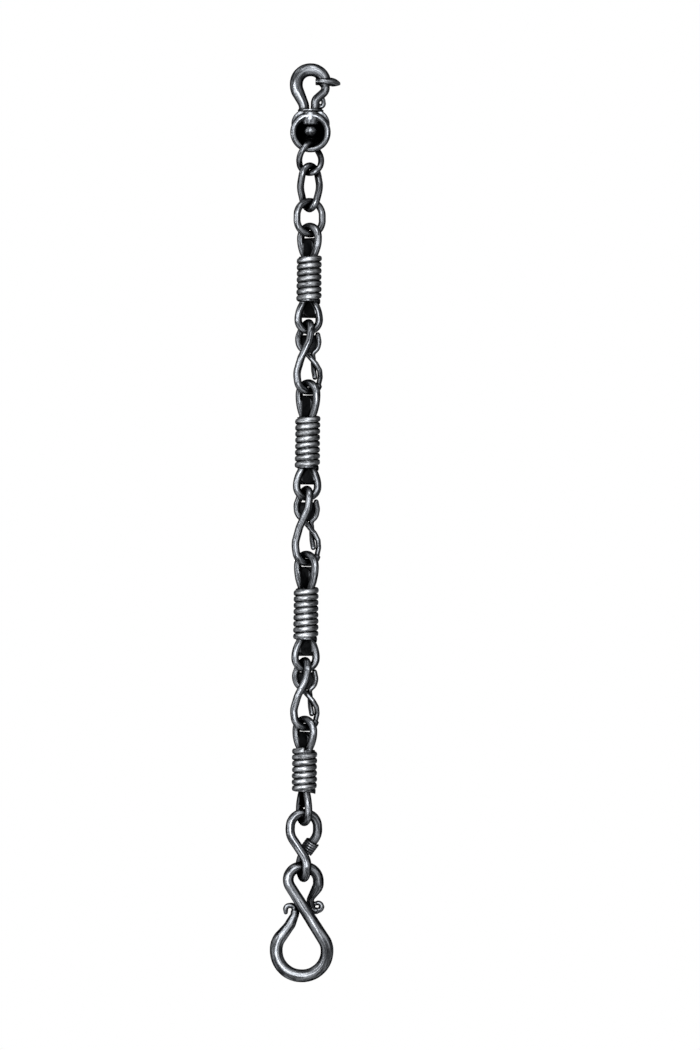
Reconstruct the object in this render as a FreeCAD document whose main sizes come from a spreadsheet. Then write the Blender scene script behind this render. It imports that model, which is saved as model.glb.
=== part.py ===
import FreeCAD, Part
import math
import os

import Sketcher
from FreeCAD import Placement, Rotation, Vector

# A wrought iron rain chain, hanging plumb below its top hook.
# Millimetres. The chain runs along Z with +Z up, and its front faces -Y.
# The origin is the seat of the hanging hook: the lowest point of the inner crown of its loop,
# where it rests on whatever carries it.

DRIVING_SIZES = {
    # Clearances
    "seat_gap": 0.3,
    "swivel_clearance": 0.35,
    # Hanging hook
    "hook_rod": 17.2,
    "hook_inner_radius": 9.8,
    "hook_loop_height": 44.1,
    "hook_neck_rod": 11.5,
    "hook_foot_rod": 14.0,
    "hook_leg_spread": 8.4,
    "hook_neck_foot": 5.6,
    "hook_tail_rod": 6.6,
    "shoulder_radius": 17.0,
    "shoulder_height": 2.5,
    "shank_diameter": 12.0,
    "shank_ball_radius": 9.5,
    "shank_ball_drop": 27.6,
    # Beaked collar on the hook
    "collar_reach_in": 6.0,
    "collar_reach_out": 39.0,
    "collar_height": 12.0,
    "collar_depth": 24.5,
    "collar_drop": 7.3,
    # Swivel cup
    "cup_wall": 4.5,
    "cup_radius": 25.0,
    "cup_back_height": 45.5,
    "ring_radius": 22.5,
    "ring_rod": 8.6,
    "ring_set_forward": 9.0,
    "ring_drop": 30.1,
    "socket_radius": 11.5,
    # First link, on the ring of the cup
    "first_rod": 8.2,
    "first_crown_half_width": 15.2,
    "first_waist_half_width": 16.4,
    "first_height": 48.4,
    "first_upper_turn": 76.0,
    "first_waist_turn": 20.0,
    "first_lower_turn": -38.0,
    # Long link
    "long_rod": 9.6,
    "long_crown_half_width": 13.4,
    "long_waist_half_width": 13.2,
    "long_height": 66.3,
    "long_upper_turn": 52.0,
    "long_waist_turn": -6.0,
    "long_lower_turn": -62.0,
    # Round link
    "round_rod": 9.4,
    "round_half_width": 18.6,
    "round_height": 52.4,
    "round_turn": 27.0,
    # Eye bars and their coils
    "bar_rod": 10.2,
    "core_radius": 13.9,
    "core_recess": 4.0,
    "coil_wire_width": 7.8,
    "coil_wire_rise": 2.6,
    "coil_pitch": 8.15,
    "coil_turns_1": 7.25,
    "coil_turns_2": 8.25,
    "coil_turns_3": 8.25,
    "coil_turns_4": 6.75,
    "upper_eye_rise": 36.3,
    "long_bar_extra_rise": 4.9,
    "upper_eye_half_width": 15.5,
    "upper_eye_foot": 9.3,
    "upper_eye_turn": -42.0,
    "lower_eye_rise": 34.6,
    "lower_eye_half_width": 14.2,
    "lower_eye_foot": 8.4,
    "lower_eye_turn": 14.0,
    "last_eye_turn": -65.0,
    "last_eye_rise": 36.8,
    "eye_root": 6.0,
    "tongue_half_width": 11.0,
    "tongue_tip_radius": 9.4,
    "tongue_thickness": 6.6,
    "tongue_gap": 1.8,
    # Twisted links
    "twist_rod": 10.2,
    "twist_thin_rod": 8.8,
    "twist_height_1": 100.2,
    "twist_height_2": 106.6,
    "twist_height_3": 98.1,
    "twist_upper_half_width": 12.4,
    "twist_lower_half_width": 14.0,
    "twist_upper_turn": -67.0,
    "twist_lower_turn": 32.0,
    "rope_wire": 7.0,
    # Small link above the bottom hook
    "small_rod": 12.4,
    "small_height": 96.8,
    "small_upper_half_width": 17.0,
    "small_lower_half_width": 15.6,
    "small_upper_turn": 8.0,
    "small_lower_turn": 105.0,
    "binding_wire": 3.2,
    "binding_pitch": 3.45,
    "binding_turns": 5.0,
    # Bottom hook
    "end_eye_rod": 14.4,
    "end_eye_half_width": 19.2,
    "end_bowl_rod": 17.0,
    "end_bowl_radius": 33.3,
    "end_bowl_drop": 143.6,
    "end_scroll_rod": 7.6,
    "end_tip": 5.6,
}

doc = FreeCAD.newDocument("RainChain")
sheet = doc.addObject("Spreadsheet::Sheet", "Sizes")
for row, (alias, value) in enumerate(DRIVING_SIZES.items(), start=1):
    sheet.set(f"A{row}", alias.replace("_", " "))
    sheet.set(f"B{row}", str(value))
    sheet.setAlias(f"B{row}", alias)
doc.recompute()


def size(alias):
    """The value of one cell of the sheet, in millimetres, degrees or turns."""
    return float(getattr(sheet, alias))


# Placing a rod in space


def around(turn, reach, z, aside=0.0):
    """A point at a signed reach along a direction turned from +X about Z, and aside across it."""
    a = math.radians(turn)
    return Vector(
        reach * math.cos(a) - aside * math.sin(a),
        reach * math.sin(a) + aside * math.cos(a),
        z,
    )


def at(x, y, z):
    return Vector(x, y, z)


def bend_path(corners, closed=False):
    """Straight runs and tangent arcs through (corner, bend radius, rod diameter) triples.

    Returns (edge, diameter at its start, diameter at its end) for each run and arc in order. An open path
    starts and ends at its first and last corner. A closed one starts half way along the run that leads into
    its first corner. A bend radius is cut back where its runs are too short for it.
    """
    count = len(corners)
    points = [corner[0] for corner in corners]
    rods = [corner[2] for corner in corners]
    ends = () if closed else (0, count - 1)
    cuts = []
    bends = []
    for i, (p, radius, _) in enumerate(corners):
        if i in ends:
            cuts.append(0.0)
            bends.append(None)
            continue
        into = (p - points[i - 1]).normalize()
        out = (points[(i + 1) % count] - p).normalize()
        turn = into.getAngle(out)
        cuts.append(radius * math.tan(turn / 2))
        bends.append((into, out, turn))
    for i in range(count if closed else count - 1):
        j = (i + 1) % count
        excess = (cuts[i] + cuts[j]) / (points[j] - points[i]).Length
        if excess > 1:
            cuts[i] /= excess
            cuts[j] /= excess
    if closed:
        lead_in = bends[0][0]
        free = (points[0] - points[-1]).Length - cuts[-1] - cuts[0]
        here = points[-1] + lead_in * (cuts[-1] + free / 2)
        rod = (rods[-1] + rods[0]) / 2
    else:
        here = points[0]
        rod = rods[0]
    start = here
    start_rod = rod
    runs = []
    for i, p in enumerate(points):
        if i in ends:
            continue
        into, out, turn = bends[i]
        first = p - into * cuts[i]
        last = p + out * cuts[i]
        if (first - here).Length > 0.01:
            runs.append((Part.LineSegment(here, first).toShape(), rod, rods[i]))
        if turn > 1e-3:
            radius = cuts[i] / math.tan(turn / 2)
            inward = (out - into).normalize()
            middle = p + inward * (radius / math.cos(turn / 2) - radius)
            runs.append((Part.Arc(first, middle, last).toShape(), rods[i], rods[i]))
        here = last
        rod = rods[i]
    end, end_rod = (start, start_rod) if closed else (points[-1], rods[-1])
    if (end - here).Length > 0.01:
        runs.append((Part.LineSegment(here, end).toShape(), rod, end_rod))
    return runs


def sweep_run(edges, diameter):
    """A round rod of one diameter along tangent edges."""
    first = edges[0]
    start = first.FirstParameter
    ring = Part.Circle(first.valueAt(start), first.tangentAt(start), diameter / 2).toShape()
    return Part.Wire(edges).makePipeShell([Part.Wire([ring])], True, False)


def bent_rod(runs):
    """A rod along the runs of a bent path, drawn down to a cone where its diameter changes."""
    pieces = []
    pending = []
    pending_rod = None

    def close_pending():
        if pending:
            pieces.append(sweep_run(list(pending), pending_rod))
            pending.clear()

    for edge, start_rod, end_rod in runs:
        if abs(start_rod - end_rod) < 1e-6:
            if pending and abs(pending_rod - start_rod) > 1e-6:
                close_pending()
            pending.append(edge)
            pending_rod = start_rod
            continue
        close_pending()
        first = edge.valueAt(edge.FirstParameter)
        last = edge.valueAt(edge.LastParameter)
        pieces.append(Part.makeCone(start_rod / 2, end_rod / 2, edge.Length, first, last - first))
    close_pending()
    return pieces


def closed_rod(corners):
    """A round rod bent to a closed loop. Where it keeps one diameter it is swept in two halves."""
    runs = bend_path(corners, True)
    if all(abs(a - b) < 1e-6 for _, a, b in runs):
        half = len(runs) // 2
        pieces = bent_rod(runs[:half]) + bent_rod(runs[half:])
    else:
        pieces = bent_rod(runs)
    return pieces[0].multiFuse(pieces[1:]).removeSplitter()


def open_rod(corners, rounded_ends=()):
    """A round rod bent along an open path, with a rounded tip at each end that is asked for."""
    runs = bend_path(corners)
    pieces = bent_rod(runs)
    for index in rounded_ends:
        point, _, rod = corners[index]
        pieces.append(Part.makeSphere(rod / 2, point))
    return pieces[0].multiFuse(pieces[1:]).removeSplitter() if len(pieces) > 1 else pieces[0]


def add_shape(label, shape):
    """A document object that holds a rod bent in space."""
    feature = doc.addObject("Part::Feature", label)
    feature.Label = label
    feature.Shape = shape.Solids[0] if len(shape.Solids) == 1 else shape
    return feature


# Sketches and bodies


def new_body(label):
    body = doc.addObject("PartDesign::Body", label)
    body.Label = label
    return body


def origin_plane(body, role):
    return next(f for f in body.Origin.OriginFeatures if f.Role == role)


def new_sketch(body, label, role, offset=None):
    sketch = body.newObject("Sketcher::SketchObject", label)
    sketch.AttachmentSupport = [(origin_plane(body, role), "")]
    sketch.MapMode = "FlatFace"
    if offset is not None:
        sketch.AttachmentOffset = offset
    return sketch


NORMAL = Vector(0, 0, 1)
ORIGIN = -1
V_AXIS = -2


def flat_arc(x, y, radius, start, end):
    return Part.ArcOfCircle(Part.Circle(Vector(x, y, 0), NORMAL, radius), start, end)


def flat_line(x1, y1, x2, y2):
    return Part.LineSegment(Vector(x1, y1, 0), Vector(x2, y2, 0))


def bind(sketch, kind, *where, expression, value):
    """Adds a dimension to a sketch and ties it to the sheet."""
    index = sketch.addConstraint(Sketcher.Constraint(kind, *where, value))
    sketch.setExpression(f"Constraints[{index}]", expression)


# Heights, from the seat of the hook downwards. Each link's crown hangs over the bar of the one above.

gap = size("seat_gap")


def crown_over(bar_z, bar_rod, rod):
    """The centre line height of a rod's crown that hangs over a bar."""
    return bar_z + bar_rod / 2 + gap + rod / 2


hook_radius = size("hook_inner_radius") + size("hook_rod") / 2
hook_centre_z = -size("hook_inner_radius")
shoulder_z = -size("hook_loop_height") - size("shoulder_height")
cap_z = shoulder_z - gap
ball_z = -size("hook_loop_height") - size("shank_ball_drop")
ring_tilt = math.degrees(math.asin(size("ring_set_forward") / (2 * size("ring_radius"))))
ring_centre_z = -size("hook_loop_height") - size("ring_drop")
ring_bar_z = ring_centre_z - size("ring_radius") * math.cos(math.radians(ring_tilt))

# The ring curves up beside its lowest point, so the first link hangs a little higher.
RING_CURVE_RISE = 0.25
first_top = crown_over(ring_bar_z, size("ring_rod"), size("first_rod")) + RING_CURVE_RISE
first_bottom = first_top - size("first_height") + size("first_rod")
long_top = crown_over(first_bottom, size("first_rod"), size("long_rod"))
long_bottom = long_top - size("long_height") + size("long_rod")
round_top = crown_over(long_bottom, size("long_rod"), size("round_rod"))
round_bottom = round_top - size("round_height") + size("round_rod")

BARS = (1, 2, 3, 4)
TWISTS = (1, 2, 3)


def rise_law(names, number):
    """The sheet's formula of how far a crown's centre line stands from its coil.

    The two middle bars have longer upper eyes, and the last bar has a lower eye of its own.
    """
    if names == "upper_eye" and number in (2, 3):
        return "(Sizes.upper_eye_rise + Sizes.long_bar_extra_rise)"
    if names == "lower_eye" and number == BARS[-1]:
        return "Sizes.last_eye_rise"
    return f"Sizes.{names}_rise"


def eye_rise(names, number):
    """The value of that formula."""
    words = rise_law(names, number).strip("()").split(" + ")
    return sum(size(word.removeprefix("Sizes.")) for word in words)


def coil_length(number):
    return size(f"coil_turns_{number}") * size("coil_pitch") + size("coil_wire_width")


bar_centre = {}
lower_eye_bottom = {}
twist_top = {}
twist_bottom = {}
hung_on = (round_bottom, size("round_rod"))
for number in BARS:
    crown = crown_over(hung_on[0], hung_on[1], size("bar_rod"))
    core_top = crown - eye_rise("upper_eye", number)
    bar_centre[number] = core_top - coil_length(number) / 2
    lower_eye_bottom[number] = core_top - coil_length(number) - eye_rise("lower_eye", number)
    if number in TWISTS:
        twist_top[number] = crown_over(lower_eye_bottom[number], size("bar_rod"), size("twist_rod"))
        twist_bottom[number] = twist_top[number] - size(f"twist_height_{number}") + size("twist_rod")
        hung_on = (twist_bottom[number], size("twist_rod"))

small_top = crown_over(lower_eye_bottom[4], size("bar_rod"), size("small_rod"))
small_bottom = small_top - size("small_height") + size("small_rod")
end_top = crown_over(small_bottom, size("small_rod"), size("end_eye_rod"))

# The hanging hook


def make_top_hook():
    """A loop of thick rod, its neck, a shoulder and a shank whose end is peened to a ball."""
    spread = size("hook_leg_spread")
    rod = size("hook_rod")
    neck_rod = size("hook_neck_rod")
    foot_z = -size("hook_loop_height")
    foot_rod = size("hook_foot_rod")
    neck_foot = size("hook_neck_foot")
    crown_z = hook_centre_z + hook_radius
    # The loop is bent round four corners of the square about it, then drawn down into its two feet.
    loop = open_rod(
        [
            (at(-spread, 0, foot_z - 1), 0, foot_rod),
            (at(-spread - 0.8, 0, foot_z + 7), 12, foot_rod),
            (at(-hook_radius - 1.2, 0, hook_centre_z - 6), 22, rod),
            (at(-hook_radius, 0, crown_z), hook_radius, rod),
            (at(hook_radius, 0, crown_z), hook_radius, rod),
            (at(hook_radius, 0, hook_centre_z), 0, rod),
        ]
    )
    neck = open_rod(
        [
            (at(hook_radius, 0, hook_centre_z), 0, rod),
            (at(hook_radius + 1.6, 0, hook_centre_z - 9), 9, neck_rod),
            (at(neck_foot + 0.4, 0, foot_z + 13), 9, neck_rod),
            (at(neck_foot, 0, foot_z - 1), 0, neck_rod),
        ]
    )
    # The drawn out end of the rod turns up beside the neck.
    tail_rod = size("hook_tail_rod")
    tail = open_rod(
        [
            (at(neck_foot + 3, 1, foot_z + 4.2), 0, tail_rod),
            (at(neck_foot + 11, 1, foot_z + 4.0), 4.5, tail_rod),
            (at(neck_foot + 11.5, 0, foot_z + 13), 0, 0.7 * tail_rod),
        ],
        rounded_ends=(-1,),
    )
    shoulder = Part.makeCylinder(size("shoulder_radius"), size("shoulder_height"), at(0, 0, shoulder_z))
    shank = Part.makeCylinder(size("shank_diameter") / 2, shoulder_z + 1 - ball_z, at(0, 0, ball_z))
    ball = Part.makeSphere(size("shank_ball_radius"), at(0, 0, ball_z))
    whole = loop.multiFuse([neck, tail, shoulder, shank, ball]).removeSplitter()
    add_shape("top_hook", whole)


def make_beak_collar():
    """A forged collar round the right strand, drawn out to a beak: oval sections along X, then the hole."""
    half_height = size("collar_height") / 2
    half_depth = size("collar_depth") / 2
    z = -size("collar_drop")
    reach = size("collar_reach_out") - size("collar_reach_in")
    stations = [
        # share of the reach, height, depth, sag
        (0.0, 0.72, 0.80, 0.0),
        (0.18, 0.86, 1.0, 0.3),
        (0.45, 1.0, 1.0, 0.2),
        (0.72, 0.92, 0.72, -0.4),
        (1.0, 0.26, 0.24, -2.2),
    ]
    rings = []
    for share, height, depth, sag in stations:
        x = size("collar_reach_in") + share * reach
        oval = Part.Ellipse(at(x, half_depth * depth, z + sag), at(x, 0, z + sag + half_height * height), at(x, 0, z + sag))
        rings.append(Part.Wire([oval.toShape()]))
    beak = Part.makeLoft(rings, True, False)
    bore_radius = size("hook_rod") / 2 + gap
    bore = Part.makeTorus(hook_radius, bore_radius, at(0, 0, hook_centre_z), Vector(0, 1, 0))
    below = Part.makeCylinder(bore_radius, 2 * half_height, at(hook_radius, 0, hook_centre_z), Vector(0.06, 0, -1))
    add_shape("beak_collar", beak.cut(bore).cut(below))


# The swivel cup


def make_swivel_cup():
    """A forged bell open at the front, with the ring as its lip and a strap down its back."""
    outer = size("cup_radius")
    wall = size("cup_wall")
    bore = size("shank_diameter") / 2 + size("swivel_clearance")
    seat = size("shank_ball_radius") + size("swivel_clearance")
    socket_z = ball_z + math.sqrt(seat ** 2 - bore ** 2)
    foot_z = cap_z - size("cup_back_height")
    shoulder_r = 17.0
    widest_z = cap_z - 20.0
    foot_r = 23.0

    # The section of the bell, outside then inside, as (radius, height).
    outside = [at(shoulder_r, 0, cap_z), at(outer, 0, widest_z), at(foot_r, 0, foot_z)]
    bulge = at(outer - 1.9, 0, (cap_z + widest_z) / 2 + 3.0)
    belly = at(outer - 0.4, 0, (widest_z + foot_z) / 2)
    inset = at(-wall, 0, 0)
    root = at(size("socket_radius") + 3.5, 0, cap_z - wall - 0.6)
    edges = [
        Part.LineSegment(at(bore, 0, cap_z), outside[0]).toShape(),
        Part.Arc(outside[0], bulge, outside[1]).toShape(),
        Part.Arc(outside[1], belly, outside[2]).toShape(),
        Part.LineSegment(outside[2], outside[2] + inset).toShape(),
        Part.Arc(outside[2] + inset, belly + inset, outside[1] + inset).toShape(),
        Part.Arc(outside[1] + inset, bulge + at(-wall, 0, -2), root).toShape(),
        Part.LineSegment(root, at(size("socket_radius"), 0, socket_z)).toShape(),
        Part.LineSegment(at(size("socket_radius"), 0, socket_z), at(bore, 0, socket_z)).toShape(),
        Part.LineSegment(at(bore, 0, socket_z), at(bore, 0, cap_z)).toShape(),
    ]
    bell = Part.Face(Part.Wire(edges)).revolve(at(0, 0, 0), NORMAL, 360)

    # The front is open from the plane of the ring forwards, but the cap is whole.
    ring_centre = at(0, -size("ring_set_forward") / 2, ring_centre_z)
    tilt = Rotation(Vector(1, 0, 0), ring_tilt)
    span = 4 * outer
    front = Part.makeBox(span, span, span, at(-span / 2, -span, -span / 2))
    front.Placement = Placement(ring_centre, tilt).multiply(front.Placement)
    cap_keep = Part.makeCylinder(size("socket_radius") + 2, cap_z - socket_z + 1, at(0, 0, socket_z))
    bell = bell.cut(front.cut(cap_keep))

    # The back is cut to a strap that narrows in a hollow curve.
    half = [
        at(span, -span, cap_z + 5),
        at(span, -span, ring_centre_z - 2),
        at(outer + 1, -span, ring_centre_z - 2),
        at(11.0, -span, ring_centre_z - 15.5),
        at(8.5, -span, foot_z + 1),
        at(0, -span, foot_z + 1),
        at(0, -span, cap_z + 5),
    ]
    sweep_in = Part.Arc(half[2], at(19.5, -span, ring_centre_z - 10), half[3]).toShape()
    outline = [
        Part.LineSegment(half[0], half[1]).toShape(),
        Part.LineSegment(half[1], half[2]).toShape(),
        sweep_in,
        Part.LineSegment(half[3], half[4]).toShape(),
        Part.LineSegment(half[4], half[5]).toShape(),
        Part.LineSegment(half[5], half[6]).toShape(),
        Part.LineSegment(half[6], half[0]).toShape(),
    ]
    right = Part.Face(Part.Wire(outline)).extrude(Vector(0, 2 * span, 0))
    left = right.mirror(Vector(0, 0, 0), Vector(1, 0, 0))
    bell = bell.common(right.fuse(left))

    axis = tilt.multVec(Vector(0, 1, 0))
    ring = Part.makeTorus(size("ring_radius"), size("ring_rod") / 2, ring_centre, axis)
    bored = Part.makeCylinder(bore, cap_z - socket_z, at(0, 0, socket_z))
    add_shape("swivel_cup", bell.fuse(ring).cut(bored).removeSplitter())


# The plain links


def make_curb_link(name, top, bottom):
    """A curb link: its two crowns turned apart, and its strands bowed out at the waist."""
    rod = size(f"{name}_rod")
    crown = size(f"{name}_crown_half_width")
    upper = size(f"{name}_upper_turn")
    lower = size(f"{name}_lower_turn")
    levels = [
        (upper, crown, top, crown),
        (size(f"{name}_waist_turn"), size(f"{name}_waist_half_width"), (top + bottom) / 2, 40),
        (lower, crown, bottom, crown),
    ]
    down = [(around(turn, reach, z), bend, rod) for turn, reach, z, bend in levels]
    up = [(around(turn, -reach, z), bend, rod) for turn, reach, z, bend in reversed(levels)]
    add_shape(f"{name}_link", closed_rod(down + up))


def make_round_link():
    turn = size("round_turn")
    rod = size("round_rod")
    half = size("round_half_width")
    corners = [(around(turn, side * half, z), half, rod) for side, z in ((1, round_top), (1, round_bottom), (-1, round_bottom), (-1, round_top))]
    add_shape("round_link", closed_rod(corners))


# The eye bars


def add_eye(body, label, turn, core_end, names, number):
    """A teardrop eye on a core: a crown arc and a long arc down each side into the core."""
    rod = size("bar_rod")
    root = size("eye_root")
    rise = eye_rise(names, number)
    half_width = size(f"{names}_half_width")
    foot = size(f"{names}_foot")
    crown_y = rise - half_width
    narrowing = half_width - foot
    side_radius = (crown_y ** 2 + narrowing ** 2) / (2 * narrowing)
    side_x = half_width - side_radius
    dip = math.asin((crown_y + root) / side_radius)
    spin = Rotation(Vector(0, 1, 0), turn)
    if core_end < 0:
        spin = spin.multiply(Rotation(NORMAL, 180))
    path = new_sketch(body, f"{label}_path", "XZ_Plane", Placement(Vector(0, core_end, 0), spin))
    path.addGeometry(
        [
            flat_arc(side_x, crown_y, side_radius, -dip, 0),
            flat_arc(0, crown_y, half_width, 0, math.pi),
            flat_arc(-side_x, crown_y, side_radius, math.pi, math.pi + dip),
        ],
        False,
    )
    path.addConstraint(Sketcher.Constraint("Tangent", 0, 2, 1, 1))
    path.addConstraint(Sketcher.Constraint("Tangent", 1, 2, 2, 1))
    path.addConstraint(Sketcher.Constraint("PointOnObject", 1, 3, V_AXIS))
    path.addConstraint(Sketcher.Constraint("Horizontal", 0, 3, 1, 3))
    path.addConstraint(Sketcher.Constraint("Horizontal", 2, 3, 1, 3))
    crown_law = f"{rise_law(names, number)} - Sizes.{names}_half_width"
    narrowing_law = f"(Sizes.{names}_half_width - Sizes.{names}_foot)"
    side_law = f"(({crown_law})^2 + {narrowing_law}^2) / (2 * {narrowing_law})"
    bind(path, "Radius", 1, expression=f"Sizes.{names}_half_width", value=half_width)
    bind(path, "DistanceY", ORIGIN, 1, 1, 3, expression=crown_law, value=crown_y)
    bind(path, "DistanceY", 0, 1, ORIGIN, 1, expression="Sizes.eye_root", value=root)
    bind(path, "DistanceY", 2, 2, ORIGIN, 1, expression="Sizes.eye_root", value=root)
    bind(path, "Radius", 0, expression=side_law, value=side_radius)
    bind(path, "Radius", 2, expression=side_law, value=side_radius)
    start_x = side_x + side_radius * math.cos(dip)
    side = -1 if core_end < 0 else 1
    turned = Rotation(NORMAL, turn)
    start = turned.multVec(Vector(side * start_x, 0, 0)) + Vector(0, 0, core_end - side * root)
    lean = Rotation(Vector(0, 1, 0), math.degrees(dip))
    ring = new_sketch(body, f"{label}_rod", "XY_Plane", Placement(start, turned.multiply(lean)))
    ring.addGeometry(Part.Circle(Vector(0, 0, 0), NORMAL, rod / 2), False)
    ring.addConstraint(Sketcher.Constraint("Coincident", 0, 3, ORIGIN, 1))
    bind(ring, "Diameter", 0, expression="Sizes.bar_rod", value=rod)
    eye = body.newObject("PartDesign::AdditivePipe", label)
    eye.Profile = ring
    eye.Spine = (path, ["Edge1", "Edge2", "Edge3"])


def add_tongue(body, label, turn, core_end, names, number):
    """The flat tongue drawn out of the core between the legs of an eye, with a rounded end.

    It stops short of the link that lies in the eye, by the tongue's own gap.
    """
    if core_end < 0:
        neighbour = "small_rod" if number == BARS[-1] else "twist_rod"
    else:
        neighbour = "round_rod" if number == BARS[0] else "twist_rod"
    root = size("eye_root")
    broad = size("tongue_half_width")
    tip = size("tongue_tip_radius")
    taken = size("bar_rod") / 2 + gap + size(neighbour) + size("tongue_gap")
    taken_law = f"Sizes.bar_rod / 2 - Sizes.seat_gap - Sizes.{neighbour} - Sizes.tongue_gap"
    tip_y = eye_rise(names, number) - taken - tip
    spin = Rotation(Vector(0, 1, 0), turn)
    if core_end < 0:
        spin = spin.multiply(Rotation(NORMAL, 180))
    outline = new_sketch(body, f"{label}_outline", "XZ_Plane", Placement(Vector(0, core_end, 0), spin))
    outline.addGeometry(
        [
            flat_line(-broad, -root, broad, -root),
            flat_line(broad, -root, tip, tip_y),
            flat_arc(0, tip_y, tip, 0, math.pi),
            flat_line(-tip, tip_y, -broad, -root),
        ],
        False,
    )
    for one, its_end, other, its_start in ((0, 2, 1, 1), (1, 2, 2, 1), (2, 2, 3, 1), (3, 2, 0, 1)):
        outline.addConstraint(Sketcher.Constraint("Coincident", one, its_end, other, its_start))
    outline.addConstraint(Sketcher.Constraint("Horizontal", 0))
    outline.addConstraint(Sketcher.Constraint("PointOnObject", 2, 3, V_AXIS))
    outline.addConstraint(Sketcher.Constraint("Horizontal", 2, 1, 2, 2))
    bind(outline, "DistanceX", ORIGIN, 1, 0, 2, expression="Sizes.tongue_half_width", value=broad)
    bind(outline, "DistanceX", 0, 1, ORIGIN, 1, expression="Sizes.tongue_half_width", value=broad)
    bind(outline, "DistanceY", 0, 2, ORIGIN, 1, expression="Sizes.eye_root", value=root)
    bind(outline, "DistanceX", ORIGIN, 1, 1, 2, expression="Sizes.tongue_tip_radius", value=tip)
    tip_law = f"{rise_law(names, number)} - {taken_law} - Sizes.tongue_tip_radius"
    bind(outline, "DistanceY", ORIGIN, 1, 1, 2, expression=tip_law, value=tip_y)
    tongue = body.newObject("PartDesign::Pad", label)
    tongue.Profile = outline
    tongue.Length = size("tongue_thickness")
    tongue.setExpression("Length", "Sizes.tongue_thickness")
    tongue.Midplane = True


def make_eye_bar(number):
    """A round core with an eye of rod forged on each end."""
    body = new_body(f"eye_bar_{number}")
    length = coil_length(number) - 2 * size("core_recess")
    length_law = f"Sizes.coil_turns_{number} * Sizes.coil_pitch + Sizes.coil_wire_width - 2 * Sizes.core_recess"
    core = body.newObject("PartDesign::AdditiveCylinder", f"core_{number}")
    core.Radius = size("core_radius")
    core.setExpression("Radius", "Sizes.core_radius")
    core.Height = length
    core.setExpression("Height", length_law)
    core.AttachmentSupport = [(origin_plane(body, "XY_Plane"), "")]
    core.MapMode = "FlatFace"
    core.AttachmentOffset = Placement(Vector(0, 0, -length / 2), Rotation())
    core.setExpression("AttachmentOffset.Base.z", f"-({length_law}) / 2")
    lower_turn = size("last_eye_turn") if number == BARS[-1] else size("lower_eye_turn")
    for side, names, turn in ((1, "upper_eye", size("upper_eye_turn")), (-1, "lower_eye", lower_turn)):
        add_eye(body, f"{names}_{number}", turn, side * coil_length(number) / 2, names, number)
        add_tongue(body, f"{names}_tongue_{number}", turn, side * coil_length(number) / 2, names, number)
    body.Placement = Placement(Vector(0, 0, bar_centre[number]), Rotation())


def make_coil(number):
    """Half round wire wound on the core of an eye bar in one close coil."""
    body = new_body(f"coil_{number}")
    inner = size("core_radius") + gap
    half = size("coil_wire_width") / 2
    rise = size("coil_wire_rise")
    crown_radius = (half ** 2 + rise ** 2) / (2 * rise)
    reach = math.asin(half / crown_radius)
    centre_x = inner + rise - crown_radius
    wire = new_sketch(body, f"wire_{number}", "XZ_Plane")
    wire.addGeometry(
        [flat_arc(centre_x, 0, crown_radius, -reach, reach), flat_line(inner, half, inner, -half)], False
    )
    wire.addConstraint(Sketcher.Constraint("Coincident", 0, 2, 1, 1))
    wire.addConstraint(Sketcher.Constraint("Coincident", 0, 1, 1, 2))
    wire.addConstraint(Sketcher.Constraint("Vertical", 1))
    wire.addConstraint(Sketcher.Constraint("PointOnObject", 0, 3, -1))
    crown_law = "((Sizes.coil_wire_width / 2)^2 + Sizes.coil_wire_rise^2) / (2 * Sizes.coil_wire_rise)"
    bind(wire, "DistanceX", ORIGIN, 1, 1, 1, expression="Sizes.core_radius + Sizes.seat_gap", value=inner)
    bind(wire, "DistanceY", 1, 2, 1, 1, expression="Sizes.coil_wire_width", value=2 * half)
    bind(wire, "Radius", 0, expression=crown_law, value=crown_radius)
    turns = body.newObject("PartDesign::AdditiveHelix", f"turns_{number}")
    turns.Profile = wire
    turns.ReferenceAxis = (wire, ["V_Axis"])
    turns.Mode = 0
    wound = size("coil_pitch") * size(f"coil_turns_{number}")
    turns.Pitch = size("coil_pitch")
    turns.setExpression("Pitch", "Sizes.coil_pitch")
    turns.Height = wound
    turns.setExpression("Height", f"Sizes.coil_pitch * Sizes.coil_turns_{number}")
    body.Placement = Placement(Vector(0, 0, bar_centre[number] - wound / 2), Rotation())


# The twisted links

ROPE_STEP = 48.0


def rope_axis(share):
    """The axis of the twisted pair down the right side, from its crossing behind to its foot."""
    points = [at(1.0, 9.5, -0.44), at(7.5, 9.0, -0.57), at(12.0, 7.5, -0.73), at(13.0, 5.6, -0.90)]
    place = share * (len(points) - 1)
    i = min(int(place), len(points) - 2)
    return points[i] + (points[i + 1] - points[i]) * (place - i)


def rope_points(phase, steps, drop, top, rod):
    """One strand of the twisted pair: corners a step of the twist apart, round the axis of the pair."""
    half = (size("rope_wire") / 2 + gap) / math.cos(math.radians(ROPE_STEP / 2))
    corners = []
    for i in range(steps + 1):
        middle = rope_axis(i / steps)
        a = math.radians(phase + ROPE_STEP * i)
        corners.append((at(middle.x + half * math.cos(a), middle.y + half * math.sin(a), top + middle.z * drop), 7, rod))
    return corners


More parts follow.
